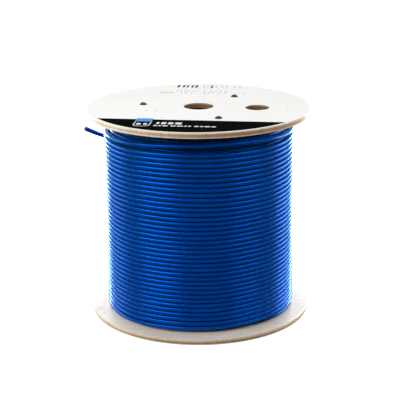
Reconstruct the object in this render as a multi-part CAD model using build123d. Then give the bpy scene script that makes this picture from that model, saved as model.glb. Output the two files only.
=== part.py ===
from build123d import *
import math
import os

# A cable reel: two round plywood flanges, a cardboard core between them, and blue data cable
# wound on the core. All lengths are millimetres and all angles degrees. The reel stands on its
# lower flange. The origin is the centre of that flange's outer face, +Z runs up the reel's axis
# and the drive holes lie on +X. Angles round the reel are counted from +X towards +Y.

# Flanges
flange_diameter = 330.0
flange_thickness = 8.0
flange_gap = 295.0              # clear width between the flanges
edge_break = 0.6                # rounding on a flange's outer edges
arbor_diameter = 44.5
drive_hole_diameter = 35.6
drive_hole_offset = 87.0        # from the reel's axis
face_sheet_thickness = 0.3      # printed sheet glued to the upper flange
face_sheet_margin = 0.5         # the sheet stops this far inside the flange's edge

# Core
core_outer_diameter = 222.0
core_wall = 4.0
groove_depth = 3.0              # each flange takes the core's end in a routed groove
groove_clearance = 0.1

# Cable
cable_diameter = 6.7
wound_diameter = 283.0          # over the outer layer of turns
outer_layer_top = 291.0         # the outer layer stops short of the upper flange

# M6 button-head tie bolts and tee nuts
bolt_circle_diameter = 168.0
bolt_count = 3
first_bolt_angle = 57.5
bolt_diameter = 6.0
bolt_hole_diameter = 6.6
head_diameter = 10.8
head_height = 3.3
socket_width = 4.0              # across the flats of the hexagon
socket_depth = 2.0
bolt_tip_height = 1.6           # the bolt's tip ends this far above the reel's underside
bolt_tip_chamfer = 0.8
tee_plate_diameter = 17.0
tee_plate_thickness = 1.2
tee_plate_lift = 0.3            # the plate lies this far above the reel's underside
tee_barrel_diameter = 7.8
tee_barrel_top = 7.2
thread_clearance = 0.05
prong_count = 4
first_prong_angle = 45.0
prong_offset = 6.9              # from the nut's axis to the middle of a prong
prong_width = 2.6
prong_thickness = 1.0
prong_height = 4.5

# Free end of the cable, as points of its route. It climbs out of the top of the outer layer,
# drops across the turns at the back of the reel, and springs clear on the -X side.
tail_route = [
    (139.3, 19.7, 281.2),
    (129.1, 68.8, 279.2),
    (98.7, 109.8, 274.5),
    (55.1, 136.7, 268.6),
    (5.0, 147.1, 262.2),
    (-45.6, 140.0, 255.8),
    (-90.7, 115.9, 249.8),
    (-125.1, 78.0, 245.3),
    (-143.4, 44.7, 249.0),
    (-158.7, 17.7, 260.4),
    (-171.0, -5.9, 274.2),
]
fillet_share = 0.45             # each bend takes this share of the shorter run beside it
conductor_diameter = 1.1        # the insulated wires that show at the cable's cut end
conductor_stub = 1.0            # how far they stand out of the cut
pair_count = 4
pair_offset = 1.65              # from the cable's axis to the middle of a pair
wire_offset = 0.6               # from the middle of a pair to the middle of each of its wires

# Worked out from the dimensions above
flange_radius = flange_diameter / 2
arbor_radius = arbor_diameter / 2
core_outer_radius = core_outer_diameter / 2
core_inner_radius = core_outer_radius - core_wall
wound_radius = wound_diameter / 2
outer_layer_inner_radius = wound_radius - cable_diameter
upper_flange_bottom = flange_thickness + flange_gap
flange_stack_height = upper_flange_bottom + flange_thickness
sheet_top = flange_stack_height + face_sheet_thickness
bolt_circle_radius = bolt_circle_diameter / 2
bolt_angles = [first_bolt_angle + i * 360 / bolt_count for i in range(bolt_count)]
on_its_end = (Align.CENTER, Align.CENTER, Align.MIN)


def drum(radius, bottom, top):
    """A solid cylinder on the reel's axis."""
    return Pos(0, 0, bottom) * Cylinder(radius, top - bottom, align=on_its_end)


def ring(outer_radius, inner_radius, bottom, top):
    """A round tube on the reel's axis."""
    return drum(outer_radius, bottom, top) - drum(inner_radius, bottom, top)


def at_angle(radius, angle, height=0.0):
    """A place at an angle round the reel, facing outwards."""
    return Rot(0, 0, angle) * Pos(radius, 0, height)


def through_holes(bottom, top, bolt_hole):
    """The arbor hole, the drive hole and the bolt holes, as the solids to cut away."""
    holes = drum(arbor_radius, bottom, top)
    holes += Pos(drive_hole_offset, 0, 0) * drum(drive_hole_diameter / 2, bottom, top)
    for angle in bolt_angles:
        holes += at_angle(bolt_circle_radius, angle) * drum(bolt_hole / 2, bottom, top)
    return holes


def flange(bottom, groove_bottom, bolt_hole):
    """A plywood disc with its holes and the groove that takes the end of the core."""
    top = bottom + flange_thickness
    disc = drum(flange_radius, bottom, top)
    disc = fillet(disc.edges().filter_by(GeomType.CIRCLE), edge_break)
    disc -= through_holes(bottom, top, bolt_hole)
    return disc - ring(
        core_outer_radius + groove_clearance,
        core_inner_radius - groove_clearance,
        groove_bottom,
        groove_bottom + groove_depth,
    )


def make_tee_nut():
    """A tee nut standing on its plate, with the prongs that bite into the plywood."""
    plate_top = tee_plate_lift + tee_plate_thickness
    nut = drum(tee_plate_diameter / 2, tee_plate_lift, plate_top)
    nut += drum(tee_barrel_diameter / 2, plate_top, tee_barrel_top)
    for i in range(prong_count):
        outline = Polygon(
            (-prong_width / 2, 0), (prong_width / 2, 0), (0, prong_height), align=None
        )
        prong = extrude(Plane.YZ * outline, prong_thickness / 2, both=True)
        nut += at_angle(prong_offset, first_prong_angle + i * 360 / prong_count, plate_top) * prong
    return nut - drum(bolt_diameter / 2 + thread_clearance, 0, tee_barrel_top)


def make_tie_bolt():
    """A long button-head bolt, standing on its tip, with a hexagon socket in its head."""
    shank = drum(bolt_diameter / 2, bolt_tip_height, sheet_top)
    shank = chamfer(shank.edges().sort_by(Axis.Z)[0], bolt_tip_chamfer)
    dome_radius = (head_diameter ** 2 / 4 + head_height ** 2) / (2 * head_height)
    dome = Pos(0, 0, sheet_top + head_height - dome_radius) * Sphere(dome_radius)
    head = drum(head_diameter / 2, sheet_top, sheet_top + head_height) & dome
    socket = Pos(0, 0, sheet_top + head_height - socket_depth) * extrude(
        RegularPolygon(socket_width / 2, 6, major_radius=False), socket_depth
    )
    return shank + head - socket


def at_each_bolt(piece):
    """Separate copies of one piece, one at each bolt."""
    return Compound(children=[at_angle(bolt_circle_radius, angle) * piece for angle in bolt_angles])


def tail_radii(points):
    """The radius of each bend: as large as the two runs beside it allow."""
    radii = []
    for before, here, after in zip(points, points[1:], points[2:]):
        run_in = here - before
        run_out = after - here
        half_turn = math.radians(run_in.get_angle(run_out) / 2)
        radii.append(fillet_share * min(run_in.length, run_out.length) / math.tan(half_turn))
    return radii


def make_tail_path():
    """The middle line of the cable's free end: straight runs joined by tangent arcs."""
    points = [Vector(*point) for point in tail_route]
    radii = tail_radii(points)
    print("tail bend radii", [round(radius) for radius in radii])
    return FilletPolyline(*points, radius=radii)


def make_cable_tail(path, outer_turns):
    """The free end of the cable, up to the face where it comes out of the outer layer."""
    section = Plane(origin=path @ 0, z_dir=path % 0) * Circle(cable_diameter / 2)
    tube = sweep(section, path=path)
    expected = math.pi * cable_diameter ** 2 / 4 * path.length
    print("tail length", round(path.length, 1), "volume ratio", round(tube.volume / expected, 4))
    return tube - outer_turns


def make_conductor_ends(path):
    """The eight insulated wires, in four pairs, where they stand out of the cable's cut end."""
    cut_end = Plane(origin=path @ 1, z_dir=path % 1).location
    stubs = []
    for i in range(pair_count):
        pair = cut_end * at_angle(pair_offset, i * 360 / pair_count)
        for side in (-wire_offset, wire_offset):
            wire = Cylinder(conductor_diameter / 2, conductor_stub, align=on_its_end)
            stubs.append(pair * Pos(0, side, 0) * wire)
    return Compound(children=stubs)


tee_nut = make_tee_nut()
tee_nuts = at_each_bolt(tee_nut)
tie_bolts = at_each_bolt(make_tie_bolt())

upper_flange = flange(upper_flange_bottom, upper_flange_bottom, bolt_hole_diameter)
lower_flange = flange(0, flange_thickness - groove_depth, bolt_hole_diameter)
for angle in bolt_angles:
    lower_flange -= at_angle(bolt_circle_radius, angle) * drum(
        tee_plate_diameter / 2, 0, tee_plate_lift + tee_plate_thickness
    )
    lower_flange -= at_angle(bolt_circle_radius, angle) * (
        tee_nut + drum(bolt_hole_diameter / 2, 0, flange_thickness)
    )

face_sheet = drum(flange_radius - face_sheet_margin, flange_stack_height, sheet_top)
face_sheet -= through_holes(flange_stack_height, sheet_top, bolt_hole_diameter)

core_tube = ring(
    core_outer_radius,
    core_inner_radius,
    flange_thickness - groove_depth,
    upper_flange_bottom + groove_depth,
)
inner_turns = ring(outer_layer_inner_radius, core_outer_radius, flange_thickness, upper_flange_bottom)
outer_turns = ring(wound_radius, outer_layer_inner_radius, flange_thickness, outer_layer_top)
tail_path = make_tail_path()

parts = {
    "upper_flange": upper_flange,
    "lower_flange": lower_flange,
    "printed_face_sheet": face_sheet,
    "core_tube": core_tube,
    "cable_inner_turns": inner_turns,
    "cable_outer_turns": outer_turns,
    "cable_tail": make_cable_tail(tail_path, outer_turns),
    "conductor_ends": make_conductor_ends(tail_path),
    "tie_bolts": tie_bolts,
    "tee_nuts": tee_nuts,
}

os.makedirs("parts", exist_ok=True)
for name, shape in parts.items():
    shape.label = name
    export_step(shape, f"parts/{name}.step")
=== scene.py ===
import math

import bmesh
import bpy
from mathutils import Matrix, Vector, noise


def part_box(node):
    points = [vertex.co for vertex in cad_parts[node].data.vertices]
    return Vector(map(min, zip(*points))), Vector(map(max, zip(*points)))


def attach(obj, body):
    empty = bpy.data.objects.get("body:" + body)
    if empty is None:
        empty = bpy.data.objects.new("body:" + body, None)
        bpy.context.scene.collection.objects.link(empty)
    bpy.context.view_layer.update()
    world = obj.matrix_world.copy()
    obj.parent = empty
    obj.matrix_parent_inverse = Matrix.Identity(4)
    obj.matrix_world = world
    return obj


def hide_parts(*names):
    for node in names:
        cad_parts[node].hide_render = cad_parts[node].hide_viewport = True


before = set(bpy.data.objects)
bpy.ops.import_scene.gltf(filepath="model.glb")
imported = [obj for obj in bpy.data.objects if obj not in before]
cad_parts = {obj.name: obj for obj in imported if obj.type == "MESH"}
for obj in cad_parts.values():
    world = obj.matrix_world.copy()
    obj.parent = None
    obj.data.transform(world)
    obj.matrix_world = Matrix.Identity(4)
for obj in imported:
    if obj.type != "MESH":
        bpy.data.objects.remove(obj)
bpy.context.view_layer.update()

MM = 0.001
scene = bpy.context.scene

# ---- places read from the frame -------------------------------------------------------------
lower_low, lower_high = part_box("lower_flange")
upper_low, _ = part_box("upper_flange")
_, sheet_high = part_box("printed_face_sheet")
_, core_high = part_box("core_tube")
_, outer_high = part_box("cable_outer_turns")
floor_z = lower_low.z
winding_bottom = lower_high.z
winding_top = upper_low.z
flange_thickness = lower_high.z - lower_low.z
print_z = sheet_high.z

cable_diameter = 6.7 * MM
cable_radius = cable_diameter / 2
layer_step = 6.75 * MM
outer_turn_radius = outer_high.y - cable_radius
inner_turn_radius = outer_turn_radius - layer_step
deep_turn_radius = inner_turn_radius - layer_step

# ---- camera ---------------------------------------------------------------------------------
camera_target = Vector((0.0007, 0.0, 0.1661))
camera_distance = 1.8454
camera_azimuth = math.radians(8.04)
camera_elevation = math.radians(17.08)
camera_roll = math.radians(-0.52)
camera_lens = 109.69


def make_camera():
    """A long lens in front of the reel, a little to its right and above its upper flange."""
    away = Vector((
        math.sin(camera_azimuth) * math.cos(camera_elevation),
        -math.cos(camera_azimuth) * math.cos(camera_elevation),
        math.sin(camera_elevation),
    ))
    camera = bpy.data.objects.new("camera", bpy.data.cameras.new("camera"))
    scene.collection.objects.link(camera)
    camera.data.lens = camera_lens
    camera.rotation_mode = "QUATERNION"
    level = (-away).to_track_quat("-Z", "Y")
    camera.rotation_quaternion = level @ Matrix.Rotation(camera_roll, 3, "Z").to_quaternion()
    camera.location = camera_target + away * camera_distance
    scene.camera = camera


make_camera()


# ---- small helpers --------------------------------------------------------------------------
def ease(value, start, end):
    """0 before start, 1 after end, and smooth between."""
    share = min(max((value - start) / (end - start), 0.0), 1.0)
    return share * share * (3 - 2 * share)


def smooth_line(knots, x):
    """A smooth line through (place, value) knots, level beyond both ends."""
    if x <= knots[0][0]:
        return knots[0][1]
    slopes = [0.0] + [(c[1] - a[1]) / (c[0] - a[0]) for a, c in zip(knots, knots[2:])] + [0.0]
    for (x0, y0), (x1, y1), s0, s1 in zip(knots, knots[1:], slopes, slopes[1:]):
        if x <= x1:
            span = x1 - x0
            t = (x - x0) / span
            return (
                y0 * (2 * t**3 - 3 * t**2 + 1) + y1 * (3 * t**2 - 2 * t**3)
                + span * (s0 * (t**3 - 2 * t**2 + t) + s1 * (t**3 - t**2))
            )
    return knots[-1][1]


def on_turn(radius, angle, height):
    """A place round the reel's axis, with its angle in degrees."""
    a = math.radians(angle)
    return Vector((radius * math.cos(a), radius * math.sin(a), height))


def new_piece(name, mesh, material):
    """A visible piece that rides on the reel."""
    piece = bpy.data.objects.new(name, mesh)
    scene.collection.objects.link(piece)
    piece.data.materials.append(material)
    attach(piece, "root")
    return piece


def new_mesh(name, build, smooth=False):
    """A mesh filled by build(bm)."""
    bm = bmesh.new()
    build(bm)
    bmesh.ops.recalc_face_normals(bm, faces=bm.faces)
    for face in bm.faces:
        face.smooth = smooth
    mesh = bpy.data.meshes.new(name)
    bm.to_mesh(mesh)
    bm.free()
    return mesh


def bridge(bm, first, second):
    """Faces between two closed loops of as many points."""
    for i in range(len(first)):
        j = (i + 1) % len(first)
        bm.faces.new((first[i], first[j], second[j], second[i]))


# ---- material helpers -----------------------------------------------------------------------
def new_material(name, **settings):
    """A material, its node tree and its shader, with the shader's own values set."""
    material = bpy.data.materials.new(name)
    material.use_nodes = True
    shader = material.node_tree.nodes["Principled BSDF"]
    for key, value in settings.items():
        shader.inputs[key.replace("_", " ")].default_value = value
    return material, material.node_tree, shader


def add(tree, kind, inputs=(), **settings):
    """A node with its settings, and its inputs set or linked."""
    n = tree.nodes.new("ShaderNode" + kind)
    for key, value in settings.items():
        setattr(n, key, value)
    for key, value in dict(inputs).items():
        if isinstance(value, bpy.types.NodeSocket):
            tree.links.new(value, n.inputs[key])
        else:
            n.inputs[key].default_value = value
    return n


def math_node(tree, operation, a, b=0.0):
    return add(tree, "Math", {0: a, 1: b}, operation=operation).outputs[0]


def color_ramp(tree, share, stops, interpolation="LINEAR"):
    n = add(tree, "ValToRGB", {"Fac": share})
    n.color_ramp.interpolation = interpolation
    elements = n.color_ramp.elements
    while len(elements) < len(stops):
        elements.new(0.5)
    for element, (place, color) in zip(elements, stops):
        element.position = place
        element.color = (*color, 1)
    return n.outputs["Color"]


def mix(tree, share, a, b, blend="MIX"):
    n = add(tree, "Mix", data_type="RGBA", blend_type=blend)
    for socket, value in ((n.inputs[0], share), (n.inputs[6], a), (n.inputs[7], b)):
        if isinstance(value, bpy.types.NodeSocket):
            tree.links.new(value, socket)
        else:
            socket.default_value = (*value, 1) if isinstance(value, tuple) else value
    return n.outputs[2]


def grey(value):
    return (value,) * 3


def shaded(tree, share, tone, value, stops):
    """A tone multiplied, in part, by the colours that a value picks from a ramp."""
    return mix(tree, share, tone, color_ramp(tree, value, stops), "MULTIPLY")


def noise_node(tree, vector, scale, detail=3.0, roughness=0.55, stretch=None):
    if stretch:
        vector = add(tree, "Mapping", {"Vector": vector, "Scale": stretch}).outputs[0]
    return add(tree, "TexNoise", {
        "Vector": vector, "Scale": scale, "Detail": detail, "Roughness": roughness,
    }).outputs["Fac"]


def between(tree, value, low, high):
    """0 at low, 1 at high, clamped; low may be above high."""
    return add(tree, "MapRange", {
        "Value": value, "From Min": low, "From Max": high, "To Min": 0.0, "To Max": 1.0,
    }).outputs[0]


def spread(tree, value, low, high):
    """A noise value turned into a range from low to high."""
    return add(tree, "MapRange", {
        "Value": value, "From Min": 0.25, "From Max": 0.75, "To Min": low, "To Max": high,
    }).outputs[0]


def bump(tree, shader, height, distance, strength=1.0):
    n = add(tree, "Bump", {"Height": height, "Distance": distance, "Strength": strength})
    tree.links.new(n.outputs[0], shader.inputs["Normal"])


def object_place(tree):
    return add(tree, "TexCoord").outputs["Object"]


def axes(tree, vector):
    x, y, z = add(tree, "SeparateXYZ", {0: vector}).outputs
    return x, y, z


def from_axis(tree, x, y):
    """The distance from the reel's axis."""
    flat = add(tree, "CombineXYZ", {0: x, 1: y}).outputs[0]
    return add(tree, "VectorMath", {0: flat}, operation="LENGTH").outputs["Value"]


def linear(r, g, b):
    """A colour given from 0 to 255, as the linear colour that a shader takes."""
    return tuple(((c / 255 + 0.055) / 1.055) ** 2.4 if c > 10 else c / 255 / 12.92 for c in (r, g, b))


# ---- materials ------------------------------------------------------------------------------
def edge_plies(tree, coordinates, bottom, end_grain_angle, light_plies, dark_plies, fibre):
    """Plies in lines along an edge, darker where their end grain shows, with painted shade on the walls of
    the holes.
    """
    x, y, z = axes(tree, coordinates)
    wander = noise_node(tree, coordinates, 22, 2)
    height = math_node(tree, "ADD", z, spread(tree, wander, -0.15 * MM, 0.15 * MM))
    depth = between(tree, height, bottom, bottom + flange_thickness)
    a = math.radians(end_grain_angle)
    across = math_node(tree, "ADD", math_node(tree, "MULTIPLY", x, math.cos(a)),
                       math_node(tree, "MULTIPLY", y, math.sin(a)))
    reach = from_axis(tree, x, y)
    facing = math_node(tree, "ABSOLUTE", math_node(tree, "DIVIDE", across, reach))
    in_hole = between(tree, reach, 150 * MM, 140 * MM)
    end_grain = math_node(tree, "MAXIMUM", between(tree, facing, 0.35, 0.95), in_hole)
    streak = noise_node(tree, coordinates, 160, 2, 0.5, stretch=(1, 1, 0.3))
    plies = mix(tree, end_grain, color_ramp(tree, depth, light_plies), color_ramp(tree, depth, dark_plies))
    plies = shaded(tree, 0.55, plies, fibre, [(0.3, grey(0.62)), (0.7, grey(1.25))])
    # Painted shade in the holes: the walls darker and browner, and nearly black at the bottom.
    shaded_hole_wall = shaded(tree, 1.0, plies, depth, [
        (0.0, grey(0.02)), (0.1, grey(0.03)), (0.18, (0.62, 0.53, 0.44)),
    ])
    plies = mix(tree, in_hole, plies, shaded_hole_wall)
    return shaded(tree, 0.5, plies, streak, [(0.3, grey(0.8)), (0.7, grey(1.15))])


def face_veneer(tree, coordinates, color, pores, knot):
    """Fine grain along x, clouded a little, with rings round the knot."""
    grain = noise_node(tree, coordinates, 10, 4, 0.6, stretch=(1, 22, 1))
    cloud = noise_node(tree, coordinates, 9, 2)
    veneer = shaded(tree, 0.6, color, grain, [(0.3, (0.86, 0.83, 0.79)), (0.7, grey(1.06))])
    veneer = shaded(tree, 0.5, veneer, pores, [(0.3, (0.86, 0.83, 0.8)), (0.6, grey(1.03))])
    veneer = shaded(tree, 0.5, veneer, cloud, [(0.3, (0.9, 0.87, 0.84)), (0.7, grey(1.03))])
    if knot:
        away = add(tree, "VectorMath", {0: coordinates, 1: knot}, operation="DISTANCE").outputs["Value"]
        veneer = shaded(tree, 0.4, veneer, between(tree, away, 0.0, 9 * MM), [
            (0.0, (0.7, 0.64, 0.56)), (0.35, (0.84, 0.8, 0.74)), (0.5, (0.68, 0.6, 0.5)),
            (0.62, (0.95, 0.93, 0.9)), (1.0, grey(1.0)),
        ])
    return veneer


def plywood(name, bottom, end_grain_angle, light_plies, dark_plies, face_color, knot=None):
    material, tree, shader = new_material(name, Roughness=0.55, Specular_IOR_Level=0.2)
    coordinates = object_place(tree)
    fibre = noise_node(tree, coordinates, 900, 3, 0.6, stretch=(1, 1, 0.12))
    pores = noise_node(tree, coordinates, 60, 3, 0.6, stretch=(1, 16, 1))
    plies = edge_plies(tree, coordinates, bottom, end_grain_angle, light_plies, dark_plies, fibre)
    veneer = face_veneer(tree, coordinates, face_color, pores, knot)
    _, _, normal_z = axes(tree, add(tree, "NewGeometry").outputs["Normal"])
    is_face = between(tree, math_node(tree, "ABSOLUTE", normal_z), 0.6, 0.8)
    tree.links.new(mix(tree, is_face, plies, veneer), shader.inputs["Base Color"])
    tree.links.new(spread(tree, pores, 0.62, 0.45), shader.inputs["Roughness"])
    relief = add(tree, "Mix", {0: is_face, 2: fibre, 3: pores}, data_type="FLOAT").outputs[0]
    bump(tree, shader, relief, 0.12 * MM, 0.5)
    return material


cream = linear(252, 242, 222)
tan = linear(232, 202, 162)
brown = linear(190, 154, 118)
deep_brown = linear(170, 134, 100)

upper_plywood = plywood(
    "upper_plywood", upper_low.z, 303,
    [(0.0, cream), (0.34, cream), (0.42, tan), (0.66, tan), (0.72, cream), (1.0, cream)],
    [(0.0, cream), (0.16, tan), (0.25, brown), (0.5, deep_brown), (0.78, brown), (0.84, cream), (1.0, tan)],
    linear(214, 200, 178),
)
lower_plywood = plywood(
    "lower_plywood", lower_low.z, 283,
    [(0.0, cream), (0.16, cream), (0.22, tan), (0.45, tan), (0.52, cream), (1.0, cream)],
    [(0.0, cream), (0.15, cream), (0.22, brown), (0.36, deep_brown), (0.5, brown), (0.6, tan), (1.0, cream)],
    linear(228, 219, 206),
    knot=(-0.1439, -0.0613, winding_bottom),
)


def printed_sheet():
    """White paper, rubbed smoother in streaks."""
    material, tree, shader = new_material("printed_sheet", Roughness=0.42, Specular_IOR_Level=0.12)
    coordinates = object_place(tree)
    fibre = noise_node(tree, coordinates, 1400, 3, 0.7)
    cloud = noise_node(tree, coordinates, 14, 3)
    rubbed = noise_node(tree, coordinates, 60, 4, 0.6, stretch=(1, 6, 1))
    paper = shaded(tree, 0.6, (0.9, 0.895, 0.88), cloud, [(0.3, (0.95, 0.945, 0.93)), (0.7, grey(1.0))])
    paper = shaded(tree, 0.35, paper, fibre, [(0.3, grey(0.93)), (0.6, grey(1.0))])
    tree.links.new(paper, shader.inputs["Base Color"])
    tree.links.new(spread(tree, rubbed, 0.36, 0.5), shader.inputs["Roughness"])
    bump(tree, shader, fibre, 0.03 * MM, 0.4)
    return material


def ink(name, color, roughness, worn, gloss=0.05):
    """Print on the sheet, thinner and greyer where worn."""
    material, tree, shader = new_material(name, Roughness=roughness, Specular_IOR_Level=gloss)
    coordinates = object_place(tree)
    speckle = noise_node(tree, coordinates, 700, 4, 0.7)
    cloud = noise_node(tree, coordinates, 35, 3)
    tone = mix(tree, color_ramp(tree, speckle, [(0.3, grey(0)), (0.75, grey(0.6))]), color, worn)
    tone = mix(tree, color_ramp(tree, cloud, [(0.4, grey(0)), (0.8, grey(0.4))]), tone, worn)
    tree.links.new(tone, shader.inputs["Base Color"])
    tree.links.new(spread(tree, cloud, roughness - 0.06, roughness + 0.1), shader.inputs["Roughness"])
    bump(tree, shader, speckle, 0.02 * MM, 0.4)
    return material


def painted_shade_factor(tree, coordinates):
    """Painted shade for the cable: 1 along the outer side of the outer turns, where nothing shades them,
    less on the layer below them, and 0 in the grooves and on the deeper layers, where shade falls.
    """
    x, y, _ = axes(tree, coordinates)
    reach = from_axis(tree, x, y)
    outer = between(tree, reach, outer_turn_radius + 0.1 * MM, outer_turn_radius + 3.0 * MM)
    lower = between(tree, reach, inner_turn_radius - 0.3 * MM, inner_turn_radius + 3.2 * MM)
    # The layer below gets at most 0.55 of the colour: painted shade under the outer turns.
    in_lower_layer = math_node(tree, "LESS_THAN", reach, inner_turn_radius + 3.6 * MM)
    lower_layer_shade_cap = math_node(tree, "MULTIPLY", in_lower_layer, 0.55)
    return math_node(tree, "MAXIMUM", outer, math_node(tree, "MULTIPLY", lower, lower_layer_shade_cap))


def jacket():
    """Glossy blue plastic, rubbed paler in places, with painted shade in its grooves and on the layers below
    the outer turns.

    It is made half metallic, so that what it reflects is tinted blue.
    """
    material, tree, shader = new_material(
        "cable_jacket", Roughness=0.26, Metallic=0.5,
        Specular_IOR_Level=0.4, Specular_Tint=(0.0, 0.6, 1.0, 1),
        Sheen_Weight=0.5, Sheen_Roughness=0.4, Sheen_Tint=(0.0, 0.45, 1.0, 1),
    )
    blue, light_blue, rubbed_blue = (0.0004, 0.062, 0.44), (0.0004, 0.08, 0.52), (0.002, 0.13, 0.62)
    coordinates = object_place(tree)
    patch = noise_node(tree, coordinates, 26, 3, 0.6, stretch=(1, 1, 2.5))
    grain = noise_node(tree, coordinates, 1500, 2, 0.6)
    dent = noise_node(tree, coordinates, 110, 2, 0.5)
    rub = noise_node(tree, coordinates, 190, 5, 0.65)
    tone = mix(tree, between(tree, patch, 0.35, 0.7), blue, light_blue)
    tone = mix(tree, color_ramp(tree, rub, [(0.58, grey(0)), (0.8, grey(0.35))]), tone, rubbed_blue)
    # Painted shade: near black in the grooves and on the deeper layers, greyer on the layer below, full
    # colour on the outer turns.
    tone = shaded(tree, 1.0, tone, painted_shade_factor(tree, coordinates), [
        (0.0, (0.04, 0.03, 0.06)), (0.3, (0.16, 0.13, 0.2)), (0.55, (0.5, 0.45, 0.52)),
        (0.8, (0.88, 0.86, 0.88)), (1.0, grey(1.0)),
    ])
    tree.links.new(tone, shader.inputs["Base Color"])
    tree.links.new(spread(tree, rub, 0.22, 0.34), shader.inputs["Roughness"])
    relief = add(tree, "Mix", {0: 0.03, 2: dent, 3: grain}, data_type="FLOAT").outputs[0]
    bump(tree, shader, relief, 0.5 * MM, 0.35)
    return material


def core_board():
    """Brown board wound in a spiral, with a dark seam at each lap."""
    laps_per_metre = 10.0
    material, tree, shader = new_material("core_board", Roughness=0.8)
    coordinates = object_place(tree)
    x, y, z = axes(tree, coordinates)
    turn = math_node(tree, "DIVIDE", math_node(tree, "ARCTAN2", y, x), math.tau)
    laps = math_node(tree, "ADD", math_node(tree, "MULTIPLY", z, laps_per_metre), turn)
    fibre = noise_node(tree, coordinates, 500, 4, 0.65, stretch=(1, 1, 3))
    tone = shaded(tree, 0.6, linear(84, 66, 50), fibre, [(0.3, grey(0.75)), (0.7, grey(1.15))])
    tone = shaded(tree, 0.8, tone, math_node(tree, "FRACT", laps), [
        (0.0, grey(0.45)), (0.02, grey(0.95)), (0.97, grey(1.0)), (1.0, grey(0.6)),
    ])
    tree.links.new(tone, shader.inputs["Base Color"])
    tree.links.new(spread(tree, fibre, 0.72, 0.9), shader.inputs["Roughness"])
    bump(tree, shader, fibre, 0.15 * MM, 0.5)
    return material


def metal(name, color, worn, roughness, metallic, wear_limits):
    """A plain fine-grained finish with worn patches."""
    material, tree, shader = new_material(name, Roughness=roughness, Metallic=metallic)
    coordinates = object_place(tree)
    grain = noise_node(tree, coordinates, 1800, 3, 0.6)
    patch = noise_node(tree, coordinates, 260, 4, 0.6)
    wear = between(tree, patch, *wear_limits)
    tree.links.new(mix(tree, wear, color, worn), shader.inputs["Base Color"])
    tree.links.new(spread(tree, patch, roughness + 0.08, roughness - 0.06), shader.inputs["Roughness"])
    bump(tree, shader, grain, 0.02 * MM, 0.5)
    return material


def conductor_colors():
    """Insulated wires in several colours, one to each sector of the cut end."""
    material, tree, shader = new_material("conductors", Roughness=0.4)
    coordinates = object_place(tree)
    _, y, z = axes(tree, coordinates)
    low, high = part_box("conductor_ends")
    middle = (low + high) / 2
    turn = math_node(tree, "ARCTAN2", math_node(tree, "SUBTRACT", z, middle.z),
                     math_node(tree, "SUBTRACT", y, middle.y))
    tone = color_ramp(tree, between(tree, turn, -math.pi, math.pi), [
        (0.0, linear(70, 58, 46)), (0.2, linear(46, 60, 92)), (0.4, linear(88, 66, 44)),
        (0.6, linear(52, 74, 56)), (0.8, linear(92, 88, 80)),
    ], "CONSTANT")
    fine = noise_node(tree, coordinates, 2500, 2)
    tone = shaded(tree, 0.4, tone, fine, [(0.3, grey(0.8)), (0.7, grey(1.1))])
    tree.links.new(tone, shader.inputs["Base Color"])
    tree.links.new(spread(tree, fine, 0.35, 0.5), shader.inputs["Roughness"])
    bump(tree, shader, fine, 0.02 * MM, 0.3)
    return material


jacket_material = jacket()
filler_material = metal("cable_filler", linear(66, 66, 64), linear(96, 95, 92), 0.6, 0.0, (0.4, 0.7))
black_ink = ink("black_ink", linear(11, 11, 11), 0.5, linear(18, 18, 18), gloss=0.0)
white_ink = ink("white_ink", (0.8, 0.8, 0.79), 0.4, (0.5, 0.5, 0.5))
blue_ink = ink("blue_ink", linear(72, 144, 225), 0.4, linear(86, 150, 218))
dark_grey_ink = ink("dark_grey_ink", linear(52, 48, 46), 0.4, linear(110, 104, 100))
tan_grey_ink = ink("tan_grey_ink", linear(204, 190, 180), 0.45, linear(226, 220, 214))
pale_blue_ink = ink("pale_blue_ink", linear(184, 200, 230), 0.45, linear(214, 222, 234))
faint_ink = ink("faint_ink", linear(228, 226, 222), 0.45, linear(238, 237, 234))
scuff_ink = ink("scuff", linear(28, 28, 28), 0.5, linear(44, 44, 44))

for node_name, material in (
    ("upper_flange", upper_plywood),
    ("lower_flange", lower_plywood),
    ("printed_face_sheet", printed_sheet()),
    ("core_tube", core_board()),
    ("tie_bolts", metal("black_bolt", linear(30, 30, 31), linear(62, 60, 56), 0.5, 0.0, (0.6, 0.85))),
    ("tee_nuts", metal("zinc_steel", linear(198, 198, 194), linear(160, 156, 146), 0.34, 1.0, (0.45, 0.8))),
    ("conductor_ends", conductor_colors()),
):
    node_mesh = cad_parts[node_name].data
    node_mesh.materials.clear()
    node_mesh.materials.append(material)

# ---- cable ----------------------------------------------------------------------------------
points_per_turn = 16
control_share = math.cos(math.pi / points_per_turn)     # a turn's curve lies inside its points
front_angle = 278.04                                    # the side that faces the camera
tail_angle = 8.04                                       # where the tail leaves the winding
full_rows = 38
coil_start_angle = 290.0
coil_end_angle = tail_angle + 360 * (full_rows + 2) - 360 / points_per_turn
climb_angle = 52                                        # the first turn climbs onto the layer below
loose_turn_lift = 7.6 * MM
coil_bottom = winding_bottom + cable_radius
pitch = 6.914 * MM
inner_pitch = 6.944 * MM

# How far the outer turns sag from an even helix, in millimetres, at six shares of its height,
# by the angle from the front.
sag_shares = (0.0, 0.1, 0.35, 0.6, 0.75, 1.0)
sag_by_angle = {
    -180: (-1.5, -1.0, -1.5, -1.5, -1.5, -0.5),
    -90: (-2.8, -2.0, -2.4, -2.0, -1.5, 0.0),
    -60: (-3.5, -2.7, -3.3, -3.0, -2.3, -2.0),
    -20: (-1.6, -1.0, -2.0, -2.8, -1.3, 0.0),
    20: (-1.0, -1.0, -2.4, -3.1, -3.5, -1.0),
    60: (1.0, 0.2, -2.2, -2.8, -3.5, -1.8),
    90: (0.5, 0.0, -1.5, -1.8, -2.0, 0.0),
    180: (-1.5, -1.0, -1.5, -1.5, -1.5, -0.5),
}

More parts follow.
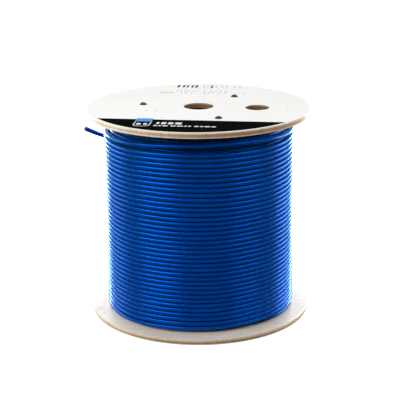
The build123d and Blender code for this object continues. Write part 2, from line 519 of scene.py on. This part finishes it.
# The free end, in millimetres: across the back of the winding, and clear of it on the left.
tail_route = [
    (139.3, 19.7, 281.2),
    (129.1, 68.8, 279.2),
    (98.7, 109.8, 274.5),
    (55.1, 136.7, 268.6),
    (5.0, 147.1, 262.2),
    (-45.6, 140.0, 255.8),
    (-90.7, 115.9, 249.8),
    (-125.1, 78.0, 245.3),
    (-143.4, 44.7, 249.0),
    (-158.7, 17.7, 260.4),
    (-171.0, -5.9, 274.2),
]


def from_front(angle):
    """The angle from the front, between -180 and 180."""
    return (angle - front_angle + 180) % 360 - 180


def sag(share, angle):
    """How far a turn is from even, at a share of the winding's height and an angle."""
    around = [(a, smooth_line(list(zip(sag_shares, sags)), share)) for a, sags in sag_by_angle.items()]
    return smooth_line(around, from_front(angle)) * MM


def uneven(angle, height, size):
    """A little difference from turn to turn, the same on every run."""
    return size * noise.noise(on_turn(1.4, angle, height / (9 * MM)))


def near_top(height):
    return ease(height, 0.7 * winding_top, winding_top)


def outer_turn_height(angle):
    """Flat on the flange at first, then a sagging helix; the last turn arches up at the front."""
    turn = (angle - 360 - tail_angle) / 360
    even = coil_bottom + pitch * max(turn, 0)
    height = even + sag(turn / full_rows, angle) + uneven(angle, even, 0.22 * MM)
    if turn < 1:
        height = coil_bottom + max(height - coil_bottom, 0) * ease(turn, 0.5, 0.75)
    if turn > full_rows:
        front = from_front(angle)
        height = even + loose_turn_lift * ease(front, -72, 6) * (1 - ease(front, 27, 72))
    return height


def outer_turn_radius_at(angle, height):
    rise = ease(angle, coil_start_angle, coil_start_angle + climb_angle)
    laid = outer_turn_radius - 0.4 * MM * near_top(height) + uneven(angle + 40, height, 0.25 * MM)
    return inner_turn_radius + (laid - inner_turn_radius) * rise


def outer_points():
    points = []
    count = round((coil_end_angle - coil_start_angle) / 360 * points_per_turn)
    for i in range(count + 1):
        angle = coil_start_angle + (coil_end_angle - coil_start_angle) * i / count
        height = outer_turn_height(angle)
        points.append(on_turn(outer_turn_radius_at(angle, height) / control_share, angle, height))
    return points


def inner_points():
    """The layer below, wound the other way, from the top down to where the outer layer starts."""
    turns = (winding_top - cable_radius - coil_bottom) / inner_pitch
    points = []
    count = round(turns * points_per_turn)
    for i in range(count + 1):
        down = turns * (1 - i / count)
        angle = coil_start_angle - 360 * down
        height = coil_bottom + inner_pitch * down
        radius = deep_turn_radius + (inner_turn_radius - deep_turn_radius) * ease(i, 0, points_per_turn / 2)
        play = uneven(angle, height, 0.3 * MM) - 0.6 * MM * near_top(height)
        radius += play * ease(count - i, 0, points_per_turn)
        points.append(on_turn(radius / control_share, angle, height))
    return points


def cable_curve(name, points):
    """A round cable along a smooth curve through the middles between its points."""
    curve = bpy.data.curves.new(name, "CURVE")
    curve.dimensions = "3D"
    curve.bevel_depth = cable_radius
    curve.bevel_resolution = 5
    curve.use_fill_caps = True
    spline = curve.splines.new("NURBS")
    spline.points.add(len(points) - 1)
    for point, place in zip(spline.points, points):
        point.co = (*place, 1.0)
    spline.order_u = 3
    spline.use_endpoint_u = True
    spline.resolution_u = 6
    return curve


cable_points = outer_points() + [Vector(p) * MM for p in tail_route]
cable = new_piece("wound_cable", cable_curve("wound_cable", cable_points), jacket_material)
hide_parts("cable_outer_turns", "cable_tail")

# The jacket material paints this layer darker, as painted shade under the outer turns.
new_piece("inner_cable_layer", cable_curve("inner_cable_layer", inner_points()), jacket_material)


def deep_layers(bm):
    """The layers that hardly show: a closed sleeve ribbed by the turns of the outermost of them."""
    around, rows = 96, 252
    gap = 0.2 * MM
    top, bottom = winding_top - gap, winding_bottom + gap
    rings = []
    for k in range(rows + 1):
        height = bottom + (top - bottom) * k / rows
        ring = []
        for i in range(around):
            angle = 360 * i / around
            phase = (height - coil_bottom) / inner_pitch - angle / 360
            offset = (phase - round(phase)) * inner_pitch / cable_radius
            rib = 1.9 * cable_radius * math.sqrt(max(1 - offset * offset, 0.02))
            ring.append(bm.verts.new(on_turn(deep_turn_radius - cable_radius + rib, angle, height)))
        rings.append(ring)
    inside = core_high.y + 0.3 * MM
    for height in (top, bottom):
        rings.append([bm.verts.new(on_turn(inside, 360 * i / around, height)) for i in range(around)])
    for first, second in zip(rings, rings[1:] + rings[:1]):
        bridge(bm, first, second)


deep_mesh = new_mesh("deep_cable_layers", deep_layers, smooth=True)
# The jacket material paints these layers near black, as painted shade.
deep = new_piece("deep_cable_layers", deep_mesh, jacket_material)
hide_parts("cable_inner_turns")


def cut_face(bm):
    """The filler inside the jacket at the cut end, a little domed, with a chamfered rim."""
    around = 24
    rings = []
    for radius, height in ((2.35, -0.6), (2.35, 0.12), (2.2, 0.24), (1.2, 0.3)):
        rings.append([
            bm.verts.new(on_turn(radius * MM, 360 * i / around, height * MM)) for i in range(around)
        ])
    for first, second in zip(rings, rings[1:]):
        bridge(bm, first, second)
    bm.faces.new(rings[0])
    bm.faces.new(rings[-1])
    end, before = Vector(tail_route[-1]) * MM, Vector(tail_route[-2]) * MM
    turned = (end - before).to_track_quat("Z", "Y").to_matrix().to_4x4()
    bmesh.ops.transform(bm, matrix=Matrix.Translation(end) @ turned, verts=bm.verts)


new_piece("cut_end_filler", new_mesh("cut_end_filler", cut_face), filler_material)

# ---- print on the upper face ----------------------------------------------------------------
# Outlines are in millimetres from the reel's axis, and the whole print is turned a little.
print_turn = math.radians(0.5)
ink_foot = print_z - 0.08 * MM
ink_height = 0.07 * MM
segment_radius = 161.4
segment_chord = -90.5
corner_steps = 6
arc_steps = 80


def rounded(x0, x1, y0, y1, radius, low_radius=None):
    """A rectangle with round corners; the two nearest the edge may be rounder."""
    low_radius = radius if low_radius is None else low_radius
    outline = []
    for cx, cy, r, start in (
        (x1, y1, radius, 0), (x0, y1, radius, 90), (x0, y0, low_radius, 180), (x1, y0, low_radius, 270),
    ):
        sx, sy = (-1 if cx == x1 else 1), (-1 if cy == y1 else 1)
        for step in range(corner_steps + 1):
            a = math.radians(start + 90 * step / corner_steps)
            outline.append((cx + sx * r + r * math.cos(a), cy + sy * r + r * math.sin(a)))
    return outline


def segment_outline():
    """The part of a disc in front of a chord."""
    reach = math.degrees(math.acos(-segment_chord / segment_radius))
    angles = [math.radians(270 - reach + 2 * reach * k / arc_steps) for k in range(arc_steps + 1)]
    return [(segment_radius * math.cos(a), segment_radius * math.sin(a)) for a in angles]


def on_print(x, y, z):
    along, across = math.cos(print_turn) * MM, math.sin(print_turn) * MM
    return x * along - y * across, x * across + y * along, z


def print_piece(name, shapes, material, layer=0):
    """Thin plates of ink; a shape is an outline, or an outer and an inner outline of a frame."""
    foot, top = ink_foot, print_z + ink_height * (layer + 1)

    def build(bm):
        for shape in shapes:
            outlines = shape if isinstance(shape, tuple) else (shape,)
            walls = [
                [[bm.verts.new(on_print(x, y, z)) for x, y in outline] for z in (foot, top)]
                for outline in outlines
            ]
            for low, high in walls:
                bridge(bm, low, high)
            for level in (0, 1):
                if len(walls) == 1:
                    bm.faces.new(walls[0][level])
                else:
                    bridge(bm, walls[0][level], walls[1][level])

    new_piece(name, new_mesh(name, build), material)


def bars(starts_and_widths, y0, y1, radius):
    """A row of upright bars."""
    return [rounded(x, x + w, y0, y1, min(radius, w / 2 - 0.01)) for x, w in starts_and_widths]


print_piece("print_black_band", [segment_outline()], black_ink)
print_piece("print_blue_block", [rounded(-77, -53, -105, -85, 0.6)], blue_ink, 1)
print_piece("print_outline_box", [
    (rounded(-76.5, -52.5, -132, -103, 1.5, 9), rounded(-74.9, -54.1, -130.4, -104.6, 0.8, 7.6)),
], white_ink, 1)
print_piece("print_white_marks", [
    *bars([(-72.5, 6.5), (-62.5, 5.5)], -123.5, -114, 2.6),
    *bars([(-45, 4), (-38, 7), (-28.5, 7.5), (-18.5, 9.5)], -117.5, -106, 2.2),
    *bars([(-47, 5.5), (-40, 4), (-34.5, 8), (-23, 7.5), (-14, 9), (-3.5, 3.5), (1.5, 4.5),
           (10, 6.5), (18, 5), (24.5, 8), (34, 6.5)], -129.5, -124, 1.6),
], white_ink, 1)
print_piece("print_scuff", [
    [(8, -103), (8.8, -103), (17.2, -123), (25.6, -145), (24.8, -145), (16.2, -123)],
], scuff_ink, 1)
print_piece("print_dark_strokes", [
    *bars([(-52, 4), (-43.5, 3.5), (-37, 3), (-29.5, 3.2), (-23.5, 4.2), (1.5, 3.2)], 132, 149, 0.8),
], dark_grey_ink)
print_piece("print_tan_strokes", [
    *bars([(-11.2, 2.6), (-5, 2.2), (8.6, 2.6)], 133, 148, 0.8),
    *bars([(-75.5, 5), (-61, 4.5)], -36.5, -33.5, 0.8),
    *bars([(-72, 3.4), (-67.6, 3.0), (-63.6, 3.6), (-59, 3.0), (-55, 4.0)], 86, 96, 0.8),
    *bars([(-40, 2), (-33, 2.4), (-24, 2), (-5, 4), (2, 3), (9, 2.2), (18, 3), (28, 2), (44, 2.4), (57, 2)],
          87, 96, 0.7),
], tan_grey_ink)
print_piece("print_blue_strokes", [
    *bars([(18.5, 3.0), (24.8, 2.8), (38, 2.4), (46, 2.6)], 134, 147, 0.8),
    *bars([(-48, 2.4), (-42.5, 2.2), (-36, 3.6), (-30, 2.4), (-22, 2.2), (-16, 2), (-6, 2.4), (4, 3.4),
           (12, 2.2), (20, 3.0), (27, 3.6)], 99, 111, 0.8),
], pale_blue_ink)
print_piece("print_faint_strokes", [
    *bars([(-50, 5), (-42, 8), (-30, 4), (-22, 9), (-9, 5), (0, 8), (12, 6), (22, 9), (36, 5), (44, 4)],
          120, 128, 0.8),
    *bars([(130.4, 1.2)], -10, 50, 0.5),
], faint_ink)


# ---- floor and light ------------------------------------------------------------------------
def make_floor():
    """A plain pale floor that gives no light to the reel and doesn't show in its reflections."""
    material, _, _ = new_material(
        "floor", Roughness=0.9, Base_Color=(0.6, 0.6, 0.6, 1),
        Emission_Color=(1, 1, 1, 1), Emission_Strength=0.85,
    )
    reach = 9
    mesh = new_mesh("floor", lambda bm: bmesh.ops.create_grid(bm, x_segments=1, y_segments=1, size=reach))
    floor = bpy.data.objects.new("floor", mesh)
    scene.collection.objects.link(floor)
    floor.location.z = floor_z - 0.02 * MM
    floor.data.materials.append(material)
    floor.visible_diffuse = False
    floor.visible_glossy = False


def soft_box(name, angle, height, distance, width, tall, power):
    """An area light that faces the winding's middle from an angle measured from the front."""
    light = bpy.data.lights.new(name, "AREA")
    light.shape = "RECTANGLE"
    light.size, light.size_y, light.energy = width, tall, power
    box = bpy.data.objects.new(name, light)
    scene.collection.objects.link(box)
    box.location = on_turn(distance, front_angle + angle, height)
    box.rotation_euler = (light_target - box.location).to_track_quat("-Z", "Y").to_euler()


light_target = Vector((0, 0, 0.16))
make_floor()
soft_box("back_left_light", -152, 0.165, 1.1, 0.7, 0.28, 22)
soft_box("back_right_light", 152, 0.165, 1.1, 0.7, 0.28, 23)
soft_box("left_light", -108, 0.25, 1.2, 0.5, 0.5, 3.5)
soft_box("right_light", 112, 0.25, 1.2, 0.5, 0.5, 6)
soft_box("front_left_light", -55, 0.9, 1.3, 1.1, 0.9, 13.5)
soft_box("front_right_light", 60, 0.9, 1.3, 0.9, 0.9, 5)
soft_box("top_light", 180, 2.0, 0.25, 1.2, 1.2, 19)

world = bpy.data.worlds.new("world")
scene.world = world
world.use_nodes = True
background = world.node_tree.nodes["Background"]
background.inputs["Color"].default_value = (1, 1, 1, 1)
background.inputs["Strength"].default_value = 0.24
scene.view_settings.view_transform = "Standard"
